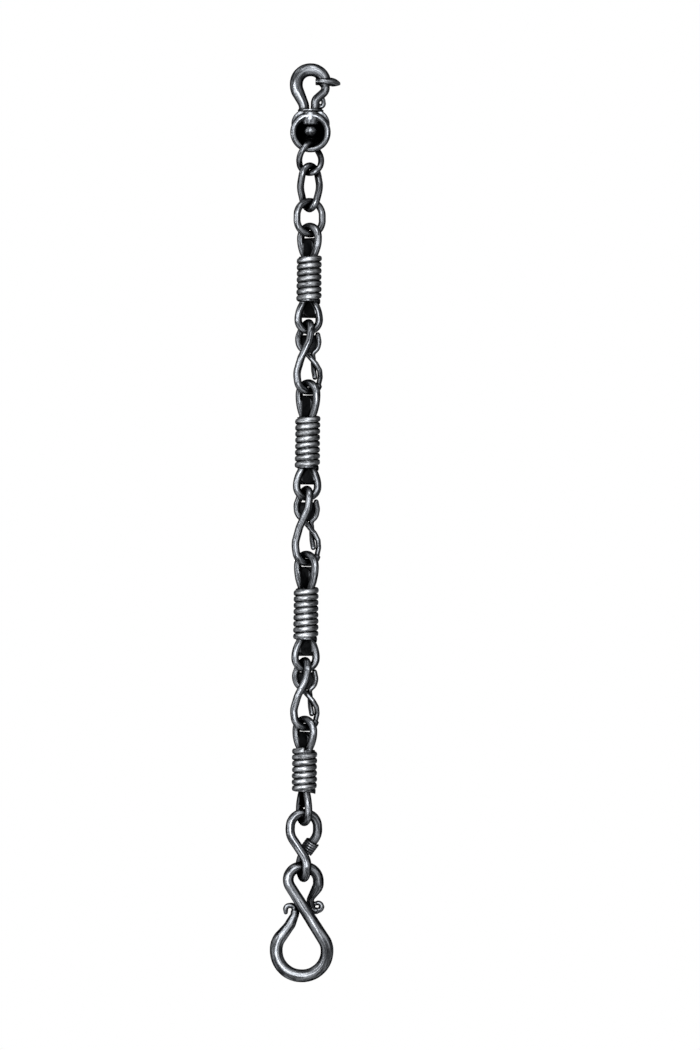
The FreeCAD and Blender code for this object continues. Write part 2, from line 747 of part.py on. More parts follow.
def make_twist_link(number):
    """A link bent to an eight and its rope wire. One strand is thick and crosses the front."""
    top = twist_top[number]
    drop = top - twist_bottom[number]
    rod = size("twist_rod")
    thin = size("twist_thin_rod")
    wire = size("rope_wire")
    upper = size("twist_upper_half_width")
    lower = size("twist_lower_half_width")
    upper_turn = size("twist_upper_turn")
    lower_turn = size("twist_lower_turn")

    def down(share):
        return top - drop * share

    steps = 5
    strand = rope_points(200, steps, drop, top, wire)
    thick = [
        (around(upper_turn, -upper, top), upper, rod),
        (around(upper_turn, upper, top), upper, rod),
        (at(1.5, -11.5, down(0.26)), 25, rod),
        (at(-9.5, -9, down(0.52)), 25, rod),
        (at(-15.2, -6, down(0.74)), 25, rod),
        (around(lower_turn, -lower, down(1)), lower, rod),
        (around(lower_turn, lower, down(1)), lower, rod),
    ]
    rear = list(reversed(strand)) + [(at(-12.5, 11.5, down(0.34)), 14, thin), (at(-14.0, 10.0, down(0.21)), 14, thin)]
    add_shape(f"twist_link_{number}", closed_rod(thick + rear))

    other = rope_points(20, steps, drop, top, wire)
    head = [
        (at(12.0, 8.5, down(0.17)), 0, wire),
        (at(14.0, 9.5, down(0.27)), 12, wire),
        (at(12.0, 11.5, down(0.38)), 12, wire),
    ]
    add_shape(f"rope_wire_{number}", open_rod(head + other[:-1], rounded_ends=(0, -1)))


# The small link and the bottom hook


def make_small_link():
    """A face-on loop over an edge-on one, its two strands crossed at the waist."""
    rod = size("small_rod")
    upper = size("small_upper_half_width")
    lower = size("small_lower_half_width")
    upper_turn = size("small_upper_turn")
    lower_turn = size("small_lower_turn")

    def down(share):
        return small_top - (small_top - small_bottom) * share

    shoulder = at(upper + 1.5, 4, down(0.33))
    hip = at(-4.5, 15, down(0.72))
    # The front strand is the rear one turned half way round the chain's axis.
    half_turn = Rotation(NORMAL, 180)
    corners = [
        (around(upper_turn, -upper, small_top), upper, rod),
        (half_turn.multVec(shoulder), 22, rod),
        (half_turn.multVec(hip), 22, rod),
        (around(lower_turn, -lower, small_bottom), lower, rod),
        (around(lower_turn, lower, small_bottom), lower, rod),
        (hip, 22, rod),
        (shoulder, 22, rod),
        (around(upper_turn, upper, small_top), upper, rod),
    ]
    add_shape("small_link", closed_rod(corners))
    make_binding_wire(hip, shoulder)


def make_binding_wire(hip, shoulder):
    """Thin wire wound round the rear strand of the small link, between its two bends."""
    body = new_body("binding_wire")
    wire = new_sketch(body, "binding_section", "XZ_Plane")
    reach = (size("small_rod") + size("binding_wire")) / 2 + gap
    wire.addGeometry(Part.Circle(Vector(reach, 0, 0), NORMAL, size("binding_wire") / 2), False)
    wire.addConstraint(Sketcher.Constraint("PointOnObject", 0, 3, -1))
    reach_law = "(Sizes.small_rod + Sizes.binding_wire) / 2 + Sizes.seat_gap"
    bind(wire, "DistanceX", ORIGIN, 1, 0, 3, expression=reach_law, value=reach)
    bind(wire, "Diameter", 0, expression="Sizes.binding_wire", value=size("binding_wire"))
    turns = body.newObject("PartDesign::AdditiveHelix", "binding_turns")
    turns.Profile = wire
    turns.ReferenceAxis = (wire, ["V_Axis"])
    turns.Mode = 0
    wound = size("binding_pitch") * size("binding_turns")
    turns.Pitch = size("binding_pitch")
    turns.setExpression("Pitch", "Sizes.binding_pitch")
    turns.Height = wound
    turns.setExpression("Height", "Sizes.binding_pitch * Sizes.binding_turns")
    along = (shoulder - hip).normalize()
    foot = (hip + shoulder) / 2 - along * (wound / 2)
    body.Placement = Placement(foot, Rotation(NORMAL, along))


def make_end_hook():
    """The large hook: an eye, a diagonal across the front, a round bowl and two drawn scrolls."""
    eye = size("end_eye_rod")
    bowl = size("end_bowl_rod")
    scroll = size("end_scroll_rod")
    tip = size("end_tip")
    half = size("end_eye_half_width")
    radius = size("end_bowl_radius")
    floor = -size("end_bowl_drop")
    bowl_middle = -1.6
    neck = 0.70 * eye

    corners = [
        (at(16.5, 12.5, -49.0), 0, tip),
        (at(24.0, 12.5, -46.5), 4.5, scroll * 0.85),
        (at(24.5, 12.5, -57.0), 5.5, scroll),
        (at(13.0, 12.5, -59.5), 5.5, scroll * 1.2),
        (at(8.5, 11.5, -44.0), 9, neck),
        (at(half + 0.6, 6.0, -25.0), 14, eye),
        (at(half, 2.5, 0), half, eye),
        (at(-half, -2.5, 0), half, eye),
        (at(-half - 1.0, -5.5, -21.0), 20, eye),
        (at(bowl_middle + radius + 0.5, -5.0, -102.0), 26, bowl),
        (at(bowl_middle + radius, -1.0, floor), radius, bowl),
        (at(bowl_middle - radius, 1.0, floor), radius, bowl),
        (at(bowl_middle - radius - 0.3, 3.0, -100.0), 26, bowl),
        (at(-17.4, 4.0, -77.0), 30, bowl * 0.85),
        (at(-10.2, 4.5, -62.0), 12, neck * 1.15),
        (at(-12.0, 4.5, -51.0), 4.4, scroll),
        (at(-23.5, 4.5, -51.5), 4.8, scroll * 0.92),
        (at(-23.0, 4.5, -60.5), 0, tip),
    ]
    placed = [(p + at(0, 0, end_top), r, d) for p, r, d in corners]
    add_shape("end_hook", open_rod(placed, rounded_ends=(0, -1)))


make_top_hook()
make_beak_collar()
make_swivel_cup()
make_curb_link("first", first_top, first_bottom)
make_curb_link("long", long_top, long_bottom)
make_round_link()
for number in BARS:
    make_eye_bar(number)
    make_coil(number)
for number in TWISTS:
    make_twist_link(number)
make_small_link()
make_end_hook()

# Checking and writing

doc.recompute()
PIECES = [o for o in doc.Objects if o.TypeId in ("PartDesign::Body", "Part::Feature")]
for item in doc.Objects:
    if "Invalid" in item.State or "Error" in item.State:
        raise RuntimeError(f"{item.Label} failed: {item.State}")
os.makedirs("parts", exist_ok=True)
for piece in PIECES:
    shape = piece.Shape
    if shape.isNull() or not shape.isValid():
        raise RuntimeError(f"{piece.Label} has no valid shape")
    if len(shape.Solids) != 1:
        print(f"{piece.Label} has {len(shape.Solids)} solids")
    shape.exportStep(f"parts/{piece.Label}.step")
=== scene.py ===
"""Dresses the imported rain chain: forged links, wound bars, twisted links and a plain studio."""

import logging
import math
from collections.abc import Callable
from dataclasses import dataclass, replace
from enum import Enum

import bpy
from mathutils import Matrix, Vector, noise

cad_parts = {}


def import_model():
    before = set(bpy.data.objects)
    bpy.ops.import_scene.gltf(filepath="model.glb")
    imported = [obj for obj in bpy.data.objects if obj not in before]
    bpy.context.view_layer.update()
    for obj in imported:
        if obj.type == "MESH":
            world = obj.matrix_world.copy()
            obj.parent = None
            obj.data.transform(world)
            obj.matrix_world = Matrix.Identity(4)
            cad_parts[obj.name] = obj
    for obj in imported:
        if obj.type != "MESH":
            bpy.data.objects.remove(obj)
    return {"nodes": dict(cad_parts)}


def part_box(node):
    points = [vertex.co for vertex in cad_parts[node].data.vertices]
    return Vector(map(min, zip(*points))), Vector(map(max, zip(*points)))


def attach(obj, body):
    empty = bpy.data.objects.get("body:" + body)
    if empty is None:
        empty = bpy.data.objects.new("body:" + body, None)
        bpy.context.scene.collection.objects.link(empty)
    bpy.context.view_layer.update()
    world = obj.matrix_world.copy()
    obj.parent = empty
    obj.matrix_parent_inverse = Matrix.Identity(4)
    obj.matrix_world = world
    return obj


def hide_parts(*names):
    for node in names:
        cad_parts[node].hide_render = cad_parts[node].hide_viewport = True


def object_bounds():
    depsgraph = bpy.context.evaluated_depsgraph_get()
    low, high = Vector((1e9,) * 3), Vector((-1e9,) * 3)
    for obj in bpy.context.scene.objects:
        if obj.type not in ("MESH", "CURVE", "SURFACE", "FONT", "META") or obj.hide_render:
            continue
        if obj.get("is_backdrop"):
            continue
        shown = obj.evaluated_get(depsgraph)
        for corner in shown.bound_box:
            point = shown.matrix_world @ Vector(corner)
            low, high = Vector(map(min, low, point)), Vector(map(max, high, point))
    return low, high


LOG = logging.getLogger("rain_chain")
MM = 0.001

Socket = bpy.types.NodeSocket
Pair = tuple[float, float]
Triple = tuple[float, float, float]

# Where the half rubbed metal stands between the scale, at 0, and the rubbed metal, at 1.
IRON_STOP = 0.45

# What the streaks, the patches and the high spots count for in where the metal is rubbed, and what
# is taken off their sum.
STREAK_WEIGHT = 2.8
PATCH_WEIGHT = 0.35
HIGH_WEIGHT = 0.3
WEAR_OFFSET = 1.65

# The pointiness from which a spot starts to be high, and from which it is high in full.
HIGH_SPOTS = (0.44, 0.56)

# The streaks along a rod: how far one runs, in metres, and its waves over the turn of the surface.
STREAK_LENGTH = 45 * MM
STREAK_WAVES = 2.4

# The painted shade in the crevices and between parts: how open an unshaded place is, what is left
# of the colour in the deepest crevice, and how many rays feel for one.
UNSHADED_FROM = 0.98
CREVICE_LEFT = 0.02
CREVICE_RAYS = 8

# Where the painted shade round the chain's axis thins out beside it, and how far along it, in metres.
AXIS_SHADE_EDGE = (7.5 * MM, 10 * MM)
AXIS_SHADE_FADE = 3 * MM

# The strength of the fine relief, and what the pits count for in it next to the streaks.
RELIEF_STRENGTH = 0.8
PIT_WEIGHT = 0.22

# A web's free edge: what is left of its thickness there, and the share of the web that it thins over.
EDGE_LEFT = 0.35
EDGE_SHARE = 0.15

# The steps in each round edge of a web's section.
ROUND_STEPS = 6


@dataclass(frozen=True)
class Pattern:
    """A noise pattern.

    Attributes:
        scale: Waves of the noise in one unit of the place.
        detail: Octaves of the noise.
        rough: How strong its fine octaves are.
        stretch: Factors on the place, which draw the noise out along an axis.
    """

    scale: float
    detail: float
    rough: float
    stretch: Triple = (1.0, 1.0, 1.0)


PATCHES = Pattern(70.0, 6.0, 0.60, (1.0, 1.0, 0.6))
PITS = Pattern(900.0, 3.0, 0.55)
DRAWN_STREAKS = Pattern(1.0, 3.0, 0.55)
WOUND_STREAKS = Pattern(420.0, 5.0, 0.62, (0.22, 0.22, 1.0))


@dataclass(frozen=True)
class Graph:
    """A node tree, with the steps that the finishes and the studio are made of.

    Attributes:
        tree: The node tree.
    """

    tree: bpy.types.NodeTree

    def add(self, kind: str, **settings: object) -> bpy.types.Node:
        """Adds a node.

        Args:
            kind: The node's type.
            settings: Its settings, by name.

        Returns:
            The node.
        """
        node = self.tree.nodes.new(kind)
        for name, value in settings.items():
            setattr(node, name, value)
        return node

    def feed(self, target: Socket, source: Socket | float) -> None:
        """Links a socket to an input, or gives the input a number.

        Args:
            target: The input.
            source: What goes in.
        """
        if isinstance(source, bpy.types.NodeSocket):
            self.tree.links.new(source, target)
        else:
            target.default_value = source

    def calculated(self, operation: str, *terms: Socket | float) -> Socket:
        """Does one step of arithmetic.

        Args:
            operation: The operation of the math node.
            terms: What it works on, in the node's order.

        Returns:
            The socket of the result.
        """
        step = self.add("ShaderNodeMath", operation=operation)
        for target, term in zip(step.inputs, terms):
            self.feed(target, term)
        return step.outputs[0]

    def sum_of(self, parts: list[tuple[Socket, float]], offset: float) -> Socket:
        """Adds up sockets, each times its weight, and an offset.

        Args:
            parts: Each socket with its weight.
            offset: What is added to the sum.

        Returns:
            The socket of the sum.
        """
        total: Socket | float = offset
        for socket, weight in parts:
            total = self.calculated("MULTIPLY_ADD", socket, weight, total)
        return total

    def ranged(
        self, value: Socket, source: Pair = (0.0, 1.0), target: Pair = (0.0, 1.0)
    ) -> Socket:
        """Takes a value from one range to another, and holds it in there.

        Args:
            value: The socket of the value.
            source: The range that it is taken from.
            target: The range that it is taken to.

        Returns:
            The socket of the new value.
        """
        step = self.add("ShaderNodeMapRange")
        for name, number in zip(("From Min", "From Max", "To Min", "To Max"), source + target):
            step.inputs[name].default_value = number
        self.feed(step.inputs["Value"], value)
        return step.outputs["Result"]

    def ramp(self, value: Socket, stops: list[tuple[float, Triple]]) -> Socket:
        """Turns a value into a colour.

        Args:
            value: The socket of the value.
            stops: The places from 0 to 1 with their colours, in order.

        Returns:
            The socket of the colour.
        """
        step = self.add("ShaderNodeValToRGB")
        elements = step.color_ramp.elements
        elements[0].position = stops[0][0]
        elements[1].position = stops[-1][0]
        for place, _ in stops[1:-1]:
            elements.new(place)
        for element, (_, colour) in zip(elements, stops):
            element.color = (*colour, 1.0)
        self.feed(step.inputs["Fac"], value)
        return step.outputs["Color"]

    def multiplied(self, colour: Socket, factor: Socket) -> Socket:
        """Multiplies a colour by a factor.

        Args:
            colour: The socket of the colour.
            factor: The socket of the factor.

        Returns:
            The socket of the darker colour.
        """
        mix = self.add("ShaderNodeMix", data_type="RGBA", blend_type="MULTIPLY")
        mix.inputs["Factor"].default_value = 1.0
        self.feed(mix.inputs["A"], colour)
        self.feed(mix.inputs["B"], factor)
        return mix.outputs["Result"]

    def noise(self, place: Socket, pattern: Pattern) -> Socket:
        """Adds a noise texture.

        Args:
            place: The socket that gives the place in the noise.
            pattern: What the noise is like.

        Returns:
            The socket of the noise, from 0 to 1.
        """
        mapping = self.add("ShaderNodeMapping")
        mapping.inputs["Scale"].default_value = pattern.stretch
        self.feed(mapping.inputs["Vector"], place)
        texture = self.add("ShaderNodeTexNoise")
        texture.inputs["Scale"].default_value = pattern.scale
        texture.inputs["Detail"].default_value = pattern.detail
        texture.inputs["Roughness"].default_value = pattern.rough
        self.feed(texture.inputs["Vector"], mapping.outputs["Vector"])
        return texture.outputs["Fac"]


class Grain(Enum):
    """Which way the marks of drawing and wear run over a piece."""

    ALONG_ROD = "along the rod, whichever way it bends"
    ROUND_BAR = "round the bar that the wire is wound on"


@dataclass(frozen=True)
class ForgedIron:
    """Blackened iron: dark scale in the hollows, rubbed grey on the high spots, hammered and pitted.

    Attributes:
        name: The material's name.
        scale_colour: The fire scale in the hollows.
        iron_colour: The metal where the scale is half rubbed away.
        rubbed_colour: The metal on the high spots.
        rough: Roughness of the rubbed metal.
        scale_rough: Roughness of the scale.
        grain: Which way the marks run.
        wear: How far the rubbed metal spreads, from 0 to 1.
        dent: Depth of the fine dents, in metres.
        shade_reach: How near another surface must be for painted shade between them, in metres.
        shade_from: How open a place must be, from 0 to 1, for any of its colour to show.
        shade_span: The lowest and highest point of the painted shade round the chain's axis.
        shade_left: The share of the colour that is left in that painted shade.
    """

    name: str
    scale_colour: Triple = (0.006, 0.0063, 0.007)
    iron_colour: Triple = (0.052, 0.055, 0.060)
    rubbed_colour: Triple = (0.29, 0.305, 0.328)
    rough: float = 0.30
    scale_rough: float = 0.36
    grain: Grain = Grain.ALONG_ROD
    wear: float = 0.5
    dent: float = 0.4 * MM
    shade_reach: float = 26 * MM
    shade_from: float = 0.42
    shade_span: Pair | None = None
    shade_left: float = 0.05

    def material(self) -> bpy.types.Material:
        """Builds the node material.

        Returns:
            The new material.
        """
        made = bpy.data.materials.new(self.name)
        made.use_nodes = True
        made.node_tree.nodes.clear()
        graph = Graph(made.node_tree)
        out = graph.add("ShaderNodeOutputMaterial")
        skin = graph.add("ShaderNodeBsdfPrincipled")
        graph.feed(out.inputs["Surface"], skin.outputs["BSDF"])
        skin.inputs["Metallic"].default_value = 1.0
        skin.inputs["Specular Tint"].default_value = (0.0, 0.0, 0.0, 1.0)

        place = graph.add("ShaderNodeTexCoord").outputs["Object"]
        streaks = self.streaks(graph)
        patches = graph.noise(place, PATCHES)
        pits = graph.noise(place, PITS)

        wear = self.wear_mask(graph, streaks, patches)
        stops = [(0.0, self.scale_colour), (IRON_STOP, self.iron_colour), (1.0, self.rubbed_colour)]
        # The crevices, and the span round the chain's axis where there is one, get painted shade.
        shade = self.shaded(graph, graph.ramp(wear, stops))
        if self.shade_span is not None:
            shade = graph.multiplied(shade, self.core_shade(graph, place, self.shade_span))
        graph.feed(skin.inputs["Base Color"], shade)

        rough = graph.ranged(wear, target=(self.scale_rough, self.rough))
        graph.feed(skin.inputs["Roughness"], rough)
        graph.feed(skin.inputs["Normal"], self.relief(graph, streaks, pits))
        return made

    def streaks(self, graph: Graph) -> Socket:
        """Adds the marks that drawing and hammering leave along the rod or round the bar.

        Round a rod the surface turns fast and along it slowly, so noise in the space of its
        normal runs along the rod, whichever way the rod bends.

        Args:
            graph: The material's nodes.

        Returns:
            The socket of the marks, from 0 to 1.
        """
        where = graph.add("ShaderNodeTexCoord")
        if self.grain is Grain.ROUND_BAR:
            return graph.noise(where.outputs["Object"], WOUND_STREAKS)
        slide = graph.add("ShaderNodeVectorMath", operation="SCALE")
        slide.inputs["Scale"].default_value = 1 / STREAK_LENGTH
        graph.feed(slide.inputs[0], where.outputs["Object"])
        turn = graph.add("ShaderNodeVectorMath", operation="MULTIPLY_ADD")
        graph.feed(turn.inputs[0], where.outputs["Normal"])
        turn.inputs[1].default_value = (STREAK_WAVES, STREAK_WAVES, STREAK_WAVES)
        graph.feed(turn.inputs[2], slide.outputs["Vector"])
        return graph.noise(turn.outputs["Vector"], DRAWN_STREAKS)

    def wear_mask(self, graph: Graph, streaks: Socket, patches: Socket) -> Socket:
        """Works out where the scale is rubbed off: on the high spots, in streaks and patches.

        Args:
            graph: The material's nodes.
            streaks: The noise of the drawing marks.
            patches: The noise of the patches of scale.

        Returns:
            The socket of the mask, 0 in the scale and 1 on the rubbed metal.
        """
        geometry = graph.add("ShaderNodeNewGeometry")
        high = graph.ranged(geometry.outputs["Pointiness"], HIGH_SPOTS)
        weights = [(streaks, STREAK_WEIGHT), (patches, PATCH_WEIGHT), (high, HIGH_WEIGHT)]
        clamp = graph.add("ShaderNodeClamp")
        graph.feed(clamp.inputs["Value"], graph.sum_of(weights, self.wear - WEAR_OFFSET))
        return clamp.outputs["Result"]

    def shaded(self, graph: Graph, colour: Socket) -> Socket:
        """Darkens the colour in the crevices and between parts, where shade falls: painted shade.

        Args:
            graph: The material's nodes.
            colour: The socket of the colour without the painted shade.

        Returns:
            The socket of the colour with the painted shade.
        """
        # Ambient occlusion darkens the colour where shade falls: painted shade.
        crevice = graph.add("ShaderNodeAmbientOcclusion", samples=CREVICE_RAYS)
        crevice.inputs["Distance"].default_value = self.shade_reach
        open_places = (self.shade_from, UNSHADED_FROM)
        depth = graph.ranged(crevice.outputs["AO"], open_places, (CREVICE_LEFT, 1.0))
        return graph.multiplied(colour, depth)

    def core_shade(self, graph: Graph, place: Socket, span: Pair) -> Socket:
        """Paints shade round the chain's axis: on the tongues in the eyes and the ball in the cup.

        Args:
            graph: The material's nodes.
            place: The socket that gives the place on the piece.
            span: The lowest and highest point of the painted shade, in metres.

        Returns:
            The socket of the factor on the colour: near 0 in the painted shade and 1 away from it.
        """
        low, high = span
        half = (high - low) / 2
        split = graph.add("ShaderNodeSeparateXYZ")
        graph.feed(split.inputs["Vector"], place)
        flat = graph.add("ShaderNodeCombineXYZ")
        for axis in ("X", "Y"):
            graph.feed(flat.inputs[axis], split.outputs[axis])
        reach = graph.add("ShaderNodeVectorMath", operation="LENGTH")
        graph.feed(reach.inputs[0], flat.outputs["Vector"])
        aside = graph.ranged(reach.outputs["Value"], AXIS_SHADE_EDGE)
        drop = graph.calculated("SUBTRACT", split.outputs["Z"], (low + high) / 2)
        away = graph.calculated("ABSOLUTE", drop)
        beyond = graph.ranged(away, (half, half + AXIS_SHADE_FADE))
        unshaded = graph.calculated("MAXIMUM", aside, beyond)
        return graph.ranged(unshaded, target=(self.shade_left, 1.0))

    def relief(self, graph: Graph, streaks: Socket, pits: Socket) -> Socket:
        """Makes the fine relief of the streaks and pits.

        Args:
            graph: The material's nodes.
            streaks: The noise of the drawing marks.
            pits: The noise of the pits.

        Returns:
            The socket of the bumped normal.
        """
        bump = graph.add("ShaderNodeBump")
        bump.inputs["Strength"].default_value = RELIEF_STRENGTH
        bump.inputs["Distance"].default_value = self.dent
        height = graph.sum_of([(streaks, 1.0), (pits, PIT_WEIGHT)], 0.0)
        graph.feed(bump.inputs["Height"], height)
        return bump.outputs["Normal"]


@dataclass(frozen=True)
class HammeredSkin:
    """The uneven surface that hammering leaves, put on a piece as modifiers.

    Attributes:
        grid: The spacing of the fine mesh, in metres.
        relax: How many times the fine mesh is smoothed.
        relax_factor: How far each smoothing goes, from 0 to 1.
        dent_size: The size of the hammer marks, in metres.
        dent_depth: From the lowest to the highest of them, in metres.
        dent_octaves: How many finer sizes of marks lie in them.
    """

    grid: float = 0.8 * MM
    relax: int = 2
    relax_factor: float = 0.5
    dent_size: float = 9 * MM
    dent_depth: float = 0.3 * MM
    dent_octaves: int = 2

    def put_on(self, piece: bpy.types.Object) -> None:
        """Adds the modifiers to a piece.

        Args:
            piece: The object that gets the skin.
        """
        fine = piece.modifiers.new("fine_mesh", "REMESH")
        fine.mode = "VOXEL"
        fine.voxel_size = self.grid
        fine.use_smooth_shade = True
        soft = piece.modifiers.new("rolled_edges", "SMOOTH")
        soft.factor = self.relax_factor
        soft.iterations = self.relax
        marks = bpy.data.textures.new(f"{piece.name}_marks", "CLOUDS")
        marks.noise_scale = self.dent_size
        marks.noise_depth = self.dent_octaves
        dents = piece.modifiers.new("hammer_marks", "DISPLACE")
        dents.texture = marks
        dents.texture_coords = "GLOBAL"
        dents.mid_level = 0.5
        dents.strength = self.dent_depth


def dress(piece: bpy.types.Object, material: bpy.types.Material) -> None:
    """Gives a piece one material in place of those it has.

    Args:
        piece: The object to dress.
        material: Its new material.
    """
    piece.data.materials.clear()
    piece.data.materials.append(material)


def swept_mesh(
    name: str,
    line: list[Vector],
    section: Callable[[float], list[Pair]],
    sideways: Callable[[float], Vector],
) -> bpy.types.Object:
    """Sweeps a closed section along a line and closes both ends.

    Args:
        name: The new object's name.
        line: The points of the line, in metres.
        section: Gives the section's points for a share of the line, as (sideways, across).
        sideways: Gives the section's first axis for a share of the line.

    Returns:
        The new object, linked to the scene.
    """
    last = len(line) - 1
    verts: list[Vector] = []
    faces: list[tuple[int, ...]] = []
    count = len(section(0.0))
    for i, middle in enumerate(line):
        share = i / last
        run = (line[min(i + 1, last)] - line[max(i - 1, 0)]).normalized()
        side = sideways(share)
        side = (side - run * side.dot(run)).normalized()
        across = run.cross(side)
        verts += [middle + side * a + across * b for a, b in section(share)]
    for i in range(last):
        here = i * count
        there = here + count
        for k in range(count):
            n = (k + 1) % count
            faces.append((here + k, here + n, there + n, there + k))
    faces.append(tuple(range(count - 1, -1, -1)))
    faces.append(tuple(last * count + k for k in range(count)))
    mesh = bpy.data.meshes.new(name)
    mesh.from_pydata(verts, [], faces)
    mesh.validate()
    mesh.shade_smooth()
    piece = bpy.data.objects.new(name, mesh)
    bpy.context.scene.collection.objects.link(piece)
    return piece


@dataclass(frozen=True)
class WoundCoil:
    """The half-round wire wound on a bar's core, a turn against the next.

    Attributes:
        number: Which bar it is on, from the top.
        turns: How many turns it has.
        wire_width: The width of the wire's crown along the bar, in metres.
        bed_width: The width that a turn takes up on the bar, in metres.
        crown_height: How far the crown stands out from its seat, in metres.
        crown_power: The power that makes the crown fuller than a half circle.
        mean_crown: The mean height of the crown, as a share of its height.
        crown_swing: How far its height goes up and down along the wire, as such a share.
        swing_turn: How far that swing turns from one end of the wire to the other, in radians.
        end_crown: The height of the crown at the wire's ends, as such a share.
        end_turns: How many turns the crown would take to rise from nothing to its full height.
        wander: How far the turns stray along the bar, in metres.
        wander_step: How far one radian of the winding goes in the noise that they stray by.
        wander_seed: Where across that noise it is read.
        steps_in_turn: The steps of the line in one turn.
        section_steps: The steps of the section over the crown.
    """

    number: int
    turns: float
    wire_width: float = 7.2 * MM
    bed_width: float = 7.8 * MM
    crown_height: float = 2.6 * MM
    crown_power: float = 0.9
    mean_crown: float = 0.93
    crown_swing: float = 0.07
    swing_turn: float = 97.0
    end_crown: float = 0.25
    end_turns: float = 0.12
    wander: float = 0.16 * MM
    wander_step: float = 1.7
    wander_seed: float = 0.3
    steps_in_turn: int = 56
    section_steps: int = 16

    def build(self) -> bpy.types.Object:
        """Builds the wire in the place of its node.

        Returns:
            The wire's object.
        """
        node = f"coil_{self.number}"
        low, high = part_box(node)
        outer = (high.x - low.x) / 2
        seat = outer - self.crown_height
        reach = self.wire_width / 2
        start = low.z + self.bed_width / 2
        steps = int(self.turns * self.steps_in_turn)
        line: list[Vector] = []
        for i in range(steps + 1):
            turn = 2 * math.pi * self.turns * i / steps
            spot = Vector((self.wander_step * turn, self.number, self.wander_seed))
            climb = (high.z - low.z - self.bed_width) * i / steps
            rise = start + climb + self.wander * noise.noise(spot)
            line.append(Vector((seat * math.cos(turn), seat * math.sin(turn), rise)))

        def section(share: float) -> list[Pair]:
            ends = min(share, 1.0 - share) * self.turns
            fade = min(1.0, self.end_crown + ends / self.end_turns)
            swing = self.crown_swing * math.sin(share * self.swing_turn + self.number)
            crown = (outer - seat) * fade * (self.mean_crown + swing)
            points = []
            for k in range(self.section_steps + 1):
                a = math.pi * k / self.section_steps
                points.append((crown * math.sin(a) ** self.crown_power, -reach * math.cos(a)))
            return points

        def outwards(share: float) -> Vector:
            turn = 2 * math.pi * self.turns * share
            return Vector((math.cos(turn), math.sin(turn), 0.0))

        wire = swept_mesh(f"wound_wire_{self.number}", line, section, outwards)
        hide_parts(node)
        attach(wire, f"eye_bar_{self.number}_body")
        return wire


def rounded_bar(half_width: float, half_thickness: float) -> list[Pair]:
    """Makes the section of a flat bar with round edges.

    Args:
        half_width: Half its width, in metres.
        half_thickness: Half its thickness, in metres.

    Returns:
        The section's points, anticlockwise.
    """
    straight = half_width - half_thickness
    points = []
    for side in (1, -1):
        for k in range(ROUND_STEPS + 1):
            a = math.pi * (k / ROUND_STEPS - 0.5)
            along = straight + half_thickness * math.cos(a)
            points.append((side * along, side * half_thickness * math.sin(a)))
    return points


def edge_thickness(half_thickness: float, inwards: float) -> float:
    """Thins a web towards its free edge.

    Args:
        half_thickness: Half the web's thickness, in metres.
        inwards: How far from the edge, as a share of the web.

    Returns:
        Half the thickness there, in metres.
    """
    return half_thickness * (EDGE_LEFT + (1 - EDGE_LEFT) * min(1.0, inwards / EDGE_SHARE))


def between(start: float, end: float, share: float) -> float:
    """Gives the value at a share of the way from one value to another.

    Args:
        start: The value at 0.
        end: The value at 1.
        share: The share of the way.

    Returns:
        The value there.
    """
    return start + (end - start) * share


@dataclass(frozen=True)
class EyeShadeWeb:
    """A thin near-black web between the legs of an eye, on each side of its tongue: painted shade.

    Attributes:
        number: Which bar it is on, from the top.
        upper: Whether it is in the bar's upper eye.
        turn: How far the eye is turned about the chain, in degrees.
        half_width: Half the width of the eye between the middles of its rod, in metres.
        foot: Half the distance between its legs where they meet the coil, in metres.
        link_rod: The rod of the link that passes through the eye, in metres.
        room: What stays open between the web and that rod, in metres.
        bar_rod: The rod of the eye itself, in metres.
        root: How far the web reaches into the coil, in metres.
        half_thickness: Half its thickness, in metres.
        steps: The steps along it.
    """

    number: int
    upper: bool
    turn: float
    half_width: float
    foot: float
    link_rod: float
    room: float
    bar_rod: float = 10.2 * MM
    root: float = 3.0 * MM
    half_thickness: float = 1.3 * MM
    steps: int = 18

    def build(self) -> bpy.types.Object:
        """Builds the web in its eye.

        Returns:
            The web's object.
        """
        bar_low, bar_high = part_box(f"eye_bar_{self.number}")
        coil_low, coil_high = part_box(f"coil_{self.number}")
        sign = 1 if self.upper else -1
        seat = coil_high.z if self.upper else coil_low.z
        tip = bar_high.z if self.upper else bar_low.z
        rise = abs(tip - seat) - self.bar_rod / 2
        crown = rise - self.half_width
        narrowing = self.half_width - self.foot
        side_radius = (crown**2 + narrowing**2) / (2 * narrowing)
        top = rise - self.bar_rod / 2 - self.link_rod - self.room
        steps = self.steps
        heights = [-self.root + (top + self.root) * i / steps for i in range(steps + 1)]
        line = [Vector((0.0, 0.0, seat + sign * height)) for height in heights]

        def section(share: float) -> list[Pair]:
            height = min(-self.root + (top + self.root) * share, crown)
            leg = self.half_width - side_radius + math.sqrt(side_radius**2 - (height - crown) ** 2)
            return rounded_bar(leg, edge_thickness(self.half_thickness, 1.0 - share))

        a = math.radians(self.turn)
        side = Vector((math.cos(a), math.sin(a), 0.0))
        where = "upper" if self.upper else "lower"
        web = swept_mesh(f"{where}_eye_web_{self.number}", line, section, lambda share: side)
        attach(web, f"eye_bar_{self.number}_body")
        return web
